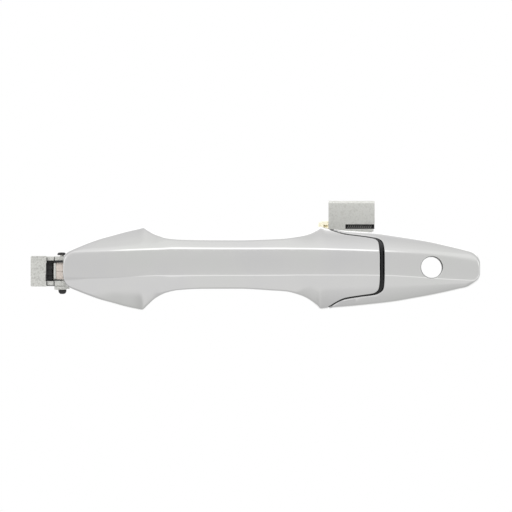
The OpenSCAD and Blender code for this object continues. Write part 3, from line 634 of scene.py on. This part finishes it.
def extrude_rim(bm, edges, steps, target):
    """Extrudes boundary edges in steps; target(point, step) gives each new place."""
    start = {v: v.co.copy() for e in edges for v in e.verts}
    origin = {v: v for v in start}
    for step in steps:
        made = bmesh.ops.extrude_edge_only(bm, edges=edges)["geom"]
        fresh = [g for g in made if isinstance(g, bmesh.types.BMVert)]
        edges_new = [g for g in made if isinstance(g, bmesh.types.BMEdge)]
        link = {}
        for v in fresh:
            for e in v.link_edges:
                o = e.other_vert(v)
                if o in origin:
                    link[v] = origin[o]
        for v, first in link.items():
            v.co = target(start[first], step)
        origin = link
        edges = [e for e in edges_new if all(v in link for v in e.verts)]
    return edges


def finish_mesh(bm, name, sharp_angle=38):
    """Turns a bmesh in millimetres into a smooth-shaded mesh in metres, sharp where it folds."""
    bm.normal_update()
    for face in bm.faces:
        face.smooth = True
    for edge in bm.edges:
        if len(edge.link_faces) == 2 and edge.calc_face_angle(0) > math.radians(sharp_angle):
            edge.smooth = False
    bmesh.ops.scale(bm, vec=(MM, MM, MM), verts=bm.verts)
    mesh = bpy.data.meshes.new(name)
    bm.to_mesh(mesh)
    bm.free()
    return mesh


def apply_modifiers(obj):
    """Replaces an object's mesh with its evaluated one."""
    graph = bpy.context.evaluated_depsgraph_get()
    mesh = bpy.data.meshes.new_from_object(obj.evaluated_get(graph))
    obj.modifiers.clear()
    obj.data = mesh


def thicken(obj, thickness, under_skin=False, room=None):
    """Gives a surface a wall that grows inwards, and keeps its inside under the outer skin.

    room(x, z) is the greatest wall that a narrow place has room for, in millimetres.
    """
    outer_count = len(obj.data.vertices)
    mod = obj.modifiers.new("wall", "SOLIDIFY")
    mod.thickness = thickness
    mod.offset = -1
    mod.use_even_offset = False
    apply_modifiers(obj)
    outer, inner = list(obj.data.vertices)[:outer_count], list(obj.data.vertices)[outer_count:]
    if room:
        place = np.array([v.co for v in outer]) / MM
        share = np.clip(room(place[:, 0], place[:, 2]) * MM / thickness, 0, 1)
        for v, skin, part in zip(inner, outer, share):
            v.co = skin.co.lerp(v.co, part)
    if under_skin:
        place = np.array([v.co for v in inner]) / MM
        x = np.clip(place[:, 0], FIRST_X + 0.2, LAST_X - 0.2)
        z = np.clip(place[:, 2], bottom(x) + UNDER_OUTLINE, top(x) - UNDER_OUTLINE)
        outwards = np.maximum(1, (KEY_HOLE_R + OFF_HOLE) / np.maximum(np.hypot(x, z), 0.1))
        x, z = x * outwards, z * outwards
        depth = np.maximum(place[:, 1], surface_y(x, z) + UNDER_SKIN)
        for v, *kept in zip(inner, x * MM, depth * MM, z * MM):
            v.co = kept


# ---- the bright shells ------------------------------------------------------------------------------
FILLET_LEVELS = [0.0, 0.02, 0.07, 0.14, 0.23, 0.35, 0.5, 0.7]
CAP_FILLET = 0.7
LIP_WIDTH, LIP_TILT = 0.8, 0.17
WALL = 2.0


def tongue_fillet(x):
    """Radius of the tongue's edge: larger along its right end than above and below."""
    return 0.16 + 0.34 * np.clip((x + 36) / 5, 0, 1)


def grip_wall_target(p, step):
    """A place on the grip's side wall, from the outline (0) to the foot or finger side (1)."""
    angle = step * math.pi / 2
    foot = float(back(p.x))
    inward = float(curl(p.x)) if p.x < -57.4 else 0.0
    way = -1 if p.z > 0 else 1
    return Vector((p.x, p.y + (foot - p.y) * math.sin(angle),
                   p.z + way * inward * (1 - math.cos(angle))))


def build_grip_shell():
    """The grip's outer shell: left foot, strap, right bulge and the tongue, with its walls."""
    xs = np.concatenate([FIRST_X + np.array([0, 0.04, 0.1, 0.18, 0.28, 0.42, 0.6, 0.85, 1.15,
                                             1.5, 1.9]),
                         np.arange(-202.8, -163.5, 0.9), np.arange(-163.2, -156.5, 0.4),
                         np.arange(-156.2, -66.5, 0.9), np.arange(-66, -56.5, 0.4),
                         np.arange(-56.3, -33, 0.7), np.arange(-32.6, -28.2, 0.3)])
    bm = sheet(xs)
    for level in FILLET_LEVELS:
        split_along(bm, grip_field, level)
    drop_faces(bm, grip_field)
    raise_surface(bm, lambda x, z: rollover(np.maximum(grip_field(x, z), 0),
                                            tongue_fillet(x), tongue_fillet(x)))
    rim = [e for e in bm.edges if e.is_boundary]
    extrude_rim(bm, rim, [0.12, 0.3, 0.5, 0.68, 0.84, 1.0], grip_wall_target)
    obj = add_piece("grip_shell_bright", finish_mesh(bm, "grip_shell_bright"), "grip_shell")
    thicken(obj, WALL * MM, under_skin=True)
    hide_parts("grip_shell")


def cap_edge(x, z):
    """Depth added along the recess: a bright lip above and below, a fillet at the right."""
    inland = np.maximum(cap_field(x, z), 0)
    step = 0.05
    slope = (surface_y(x, z + step) - surface_y(x, z - step)) / (2 * step)
    fold = np.where(z > 0, slope - LIP_TILT, LIP_TILT - slope)
    near = np.maximum(LIP_WIDTH - inland, 0)
    lip = np.maximum(fold, 0) * near * near / (near + 0.12) + rollover(inland, 0.14, 0.14)
    fillet = rollover(inland, CAP_FILLET, CAP_FILLET)
    blend = np.clip((x + 32) / 3.5, 0, 1)
    return lip * (1 - blend) + fillet * blend


def build_cap_shell():
    """The end cap: the fork round the tongue, the key hole's face and the rounded end."""
    xs = np.concatenate([np.arange(-57.2, -34, 0.7), np.arange(-33.6, -25, 0.3),
                         np.arange(-24.6, -7, 0.8), np.arange(-6.8, 7, 0.4),
                         np.arange(7.2, 20, 0.8), np.arange(20.2, 25.4, 0.4),
                         LAST_X - np.array([1.4, 1.1, 0.8, 0.55, 0.35, 0.18, 0.07, 0.0])])
    bm = sheet(xs)

    def hole_field(x, z):
        """Distance outside the key hole."""
        return np.hypot(x, z) - KEY_HOLE_R

    for level in FILLET_LEVELS:
        split_along(bm, cap_field, level)
    drop_faces(bm, cap_field)
    for level in (0.0, 0.03, 0.08, 0.15, 0.26):
        split_along(bm, hole_field, level)
    drop_faces(bm, hole_field)
    raise_surface(bm, lambda x, z: cap_edge(x, z)
                  + rollover(np.maximum(hole_field(x, z), 0), 0.26, 0.26))
    hole = [e for e in bm.edges if e.is_boundary
            and all(abs(math.hypot(v.co.x, v.co.z) - KEY_HOLE_R) < 0.05 for v in e.verts)]
    outer = [e for e in bm.edges if e.is_boundary and e not in set(hole)]
    extrude_rim(bm, hole, [0.5, 1.0], lambda p, s: Vector((p.x, p.y + 2.6 * s, p.z)))
    extrude_rim(bm, outer, [0.1, 0.3, 0.6, 1.0],
                lambda p, s: Vector((p.x, p.y + (-1.2 - p.y) * s, p.z)))
    obj = add_piece("cap_shell_bright", finish_mesh(bm, "cap_shell_bright"), "cap_shell")

    def fork_room(x, z):
        """Less than half of the cap's width between the recess and the outline."""
        return 0.05 + 0.4 * (distance_to(outline, x, z) + np.maximum(cap_field(x, z), 0))

    thicken(obj, WALL * MM, under_skin=True, room=fork_room)
    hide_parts("cap_shell")


def build_back_cover():
    """The finger-side cover that closes the strap, slightly crowned."""
    bm = bmesh.new()
    rows = []
    for x in np.arange(-158, -63.5, 1.0):
        k = float(curl(x)) + 0.15
        zb, zt, y = bottom(x) + k, top(x) - k, float(back(x))
        across_z = [zb + (zt - zb) * (1 - math.cos(math.pi * i / 16)) / 2 for i in range(17)]
        rows.append([bm.verts.new((x, y - 0.5 + 0.5 * math.sqrt(
            max(0.0, 1 - ((z - (zb + zt) / 2) / ((zt - zb) / 2)) ** 6)), z)) for z in across_z])
    for r, s in zip(rows[:-1], rows[1:]):
        for j in range(len(r) - 1):
            bm.faces.new((r[j + 1], s[j + 1], s[j], r[j]))
    obj = add_piece("grip_back_cover_bright", finish_mesh(bm, "grip_back_cover_bright"),
                    "grip_back_cover")
    thicken(obj, 1.6 * MM)
    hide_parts("grip_back_cover")


# Section of the key hole's liner: radius, depth under the skin, share of the rear's side shift
LINER_SECTION = [(6.3, 0.4, 0), (6.22, 0.12, 0), (6.12, 0.05, 0), (6.02, 0.1, 0),
                 (5.96, 0.3, 0), (5.94, 1.4, 0.4), (5.92, 2.6, 0.8), (5.92, 3.4, 1),
                 (6.5, 3.4, 1)]
LINER_SHIFT = (-0.42, -0.34)


def build_key_hole_liner():
    """The thin liner of the key hole, drafted a little towards its rear, in a darker plating that
    paints the shade on the hole's wall.
    """
    bm = bmesh.new()
    steps = 96
    rows = []
    for i in range(steps):
        a = 2 * math.pi * i / steps
        rim_x, rim_z = 6.3 * math.cos(a), 6.3 * math.sin(a)
        skin = float(surface_y(np.array([rim_x]), np.array([rim_z]))[0])
        rows.append([bm.verts.new((r * math.cos(a) + LINER_SHIFT[0] * k, skin + depth,
                                   r * math.sin(a) + LINER_SHIFT[1] * k))
                     for r, depth, k in LINER_SECTION])
    for r, s in zip(rows, rows[1:] + rows[:1]):
        for j in range(len(r)):
            k = (j + 1) % len(r)
            bm.faces.new((r[j], s[j], s[k], r[k]))
    bmesh.ops.recalc_face_normals(bm, faces=bm.faces)
    add_piece("key_hole_liner", finish_mesh(bm, "key_hole_liner", 60), "cap_shell",
              MATERIALS["hole_shade_plate"])


# Section of the black lip: places from the tongue (0) to the cap (1) and depths under the skin
LIP_PROFILE = [(0.06, 6), (0.06, 1.9), (0.14, 1.45), (0.3, 1.12), (0.5, 1.0), (0.7, 1.12),
               (0.86, 1.45), (0.97, 1.9), (0.97, 6)]


def build_parting_lip():
    """The black lip that closes the parting gap below the surface, all round the tongue."""
    x, z = tongue_line.T
    kept = (z < top(x) - 0.6) & (z > bottom(x) + 0.7)  # it stops short of the outline
    inner, outer = tongue_line[kept], recess_line[kept]
    bm = bmesh.new()
    across_gap = [inner + (outer - inner) * t for t, _ in LIP_PROFILE]
    depth = [surface_y(p[:, 0], p[:, 1]) + sink
             for p, (_, sink) in zip(across_gap, LIP_PROFILE)]
    rows = [[bm.verts.new((p[i, 0], y[i], p[i, 1])) for p, y in zip(across_gap, depth)]
            for i in range(len(inner))]
    for r, s in zip(rows[:-1], rows[1:]):
        for j in range(len(r) - 1):
            bm.faces.new((r[j], r[j + 1], s[j + 1], s[j]))
        bm.faces.new((r[-1], r[0], s[0], s[-1]))
    bm.faces.new(rows[0])
    bm.faces.new(rows[-1][::-1])
    bmesh.ops.recalc_face_normals(bm, faces=bm.faces)
    add_piece("parting_lip", finish_mesh(bm, "parting_lip", 50), "cap_bumper",
              MATERIALS["seal_rubber"])


# ---- CAD nodes with their edges rounded -------------------------------------------------------------
def rounded_copy(node, width, segments=2):
    """A copy of a CAD node with small rounded edges, standing for it."""
    bm = bmesh.new()
    bm.from_mesh(frame["nodes"][node].data)
    bmesh.ops.remove_doubles(bm, verts=bm.verts, dist=2e-6)
    bmesh.ops.dissolve_limit(bm, angle_limit=math.radians(0.6), verts=bm.verts, edges=bm.edges)
    sharp = [e for e in bm.edges if len(e.link_faces) == 2
             and e.calc_face_angle(0) > math.radians(32)]
    bmesh.ops.bevel(bm, geom=sharp, offset=width * MM, offset_type="OFFSET", segments=segments,
                    profile=0.5, affect="EDGES", clamp_overlap=True, loop_slide=True)
    bmesh.ops.scale(bm, vec=(1 / MM,) * 3, verts=bm.verts)
    mesh = finish_mesh(bm, node + "_rounded")
    obj = add_piece(node + "_rounded", mesh, node)
    weigh = obj.modifiers.new("normals", "WEIGHTED_NORMAL")
    weigh.keep_sharp = True
    apply_modifiers(obj)
    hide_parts(node)
    return obj


def add_block(bm, corner_a, corner_b):
    """Adds a box between two corners, in millimetres."""
    made = bmesh.ops.create_cube(bm, size=1)["verts"]
    for v in made:
        v.co = Vector(corner_a[i] + (corner_b[i] - corner_a[i]) * (v.co[i] + 0.5)
                      for i in range(3))
    return made


def build_slot_pad():
    """The insert in the flag's slot: a dark frame with slanted ribs between its rails, the ribs in a
    lighter grey rubber that paints the light on their faces.
    """
    bm = bmesh.new()
    left, right, low_z, high_z, front, rear = -47.6, -31.5, 21.35, 23.85, 34.2, 49.5
    add_block(bm, (left, front + 2.2, low_z), (right, rear, high_z))
    add_block(bm, (left, front, low_z), (left + 0.5, front + 2.4, high_z))
    add_block(bm, (left + 0.4, front, high_z - 0.35), (right, front + 2.4, high_z))
    add_block(bm, (left + 0.4, front, low_z), (right, front + 2.4, low_z + 0.3))
    bmesh.ops.bevel(bm, geom=bm.edges[:], offset=0.05, segments=1, affect="EDGES",
                    clamp_overlap=True)
    obj = add_piece("arm_slot_pad_frame", finish_mesh(bm, "arm_slot_pad_frame"),
                    "arm_slot_pad")
    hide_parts("arm_slot_pad")
    ribs = bmesh.new()
    pitch, rib_width, margin, slant = 1.15, 0.55, 0.7, 0.4
    for i in range(int((right - left - 2 * margin) / pitch)):
        x = left + margin + i * pitch
        for v in add_block(ribs, (x, front + 0.5, low_z + 0.35),
                           (x + rib_width, front + 2.4, high_z - 0.4)):
            v.co.x += slant * (v.co.z - low_z)
    bmesh.ops.bevel(ribs, geom=ribs.edges[:], offset=0.08, segments=2, affect="EDGES",
                    clamp_overlap=True)
    # the ribs take the lighter rubber, which paints the light on their faces
    add_piece("arm_slot_pad_ribs", finish_mesh(ribs, "arm_slot_pad_ribs"), "arm_slot_pad",
              MATERIALS["lit_rib_rubber"])


def build_hinge_details():
    """Small parts round the knuckle: black thrust washers and black strips along the bracket's seam,
    which paint the shadow in those gaps, and the bracket's cast ribs.
    """
    def boxes(name, node, material, bevel, corners):
        """One piece made of boxes with softened edges."""
        bm = bmesh.new()
        for a, b in corners:
            add_block(bm, a, b)
        bmesh.ops.bevel(bm, geom=bm.edges[:], offset=bevel, segments=2, affect="EDGES",
                        clamp_overlap=True)
        add_piece(name, finish_mesh(bm, name), node, material)

    dark = MATERIALS["black_rubber"]
    # thrust washers in black rubber, placed so that they paint the shadow in the gaps between the lugs
    # and the bushes
    boxes("hinge_shadow_washers", "hinge_bracket", dark, 0.15, [
        ((-210.0, 3.1, 2.65), (-205.4, 9, 3.75)),
        ((-209.9, 3.3, -7.6), (-205.8, 9, -7.0))])
    # black strips along the block's edge and the rails, laid where there is only a shadowed step:
    # painted shadow lines
    boxes("hinge_bracket_shadow_strips", "hinge_bracket", dark, 0.08, [
        ((-214.4, 2.3, -10.2), (-213.95, 4, -7.9)), ((-214.8, 2.3, -7.8), (-213.95, 4, -3.9)),
        ((-214.6, 2.3, -4), (-213.95, 4, 2.3)), ((-214.3, 2.3, 2.2), (-213.95, 4, 5.4)),
        ((-214.1, 2.95, 3.35), (-210.1, 4, 3.7)), ((-210.15, 2.9, 3.4), (-209.7, 4, 5.7)),
        ((-214.1, 2.95, -7.75), (-210.2, 4, -7.45)), ((-214, 3.05, -10.55), (-209.7, 4, -10.2)),
        ((-210.3, 2.95, -10.3), (-209.85, 4, -7.5))])
    boxes("hinge_bracket_ribs", "hinge_bracket", None, 0.12, [
        ((-222.6, 2.25, -1.1), (-215.4, 2.6, -0.8)), ((-222.6, 2.25, 5.1), (-215.2, 2.6, 5.4)),
        ((-220.9, 2.2, -6.8), (-218.7, 2.6, -4.6))])
    boxes("front_hinge_arm_edge", "front_hinge_arm", None, 0.2, [
        ((-210.25, 4.4, -6.7), (-209.05, 6.2, 2.3))])


ROUNDED = {"hinge_bracket": 0.35, "rear_pull_arm": 0.35, "front_hinge_arm": 0.3,
           "arm_guide_clip": 0.3, "hinge_buffer": 0.2, "hinge_bush_upper": 0.15,
           "hinge_bush_lower": 0.15, "release_lever": 0.25, "lever_bracket": 0.25,
           "handle_base": 0.2, "lock_carrier": 0.2, "grip_core": 0.25, "cap_bumper": 0.5}

build_studio()
build_floor()
add_soft_light("key_light", (-0.8, -1.4, 1.3), (VIEW_X, 0, 0), 1.2, 14)
add_soft_light("top_light", (-0.1, 0.15, 1.6), (VIEW_X, 0, 0), 0.9, 12)
add_soft_light("side_fill", (-1.5, -0.5, 0.3), (VIEW_X, 0, 0), 0.9, 12)
for name, obj in frame["nodes"].items():
    obj.data.materials.clear()
    obj.data.materials.append(material_of(name))
build_grip_shell()
build_cap_shell()
build_back_cover()
build_key_hole_liner()
build_parting_lip()
build_slot_pad()
build_hinge_details()
for name, width in ROUNDED.items():
    rounded_copy(name, width)
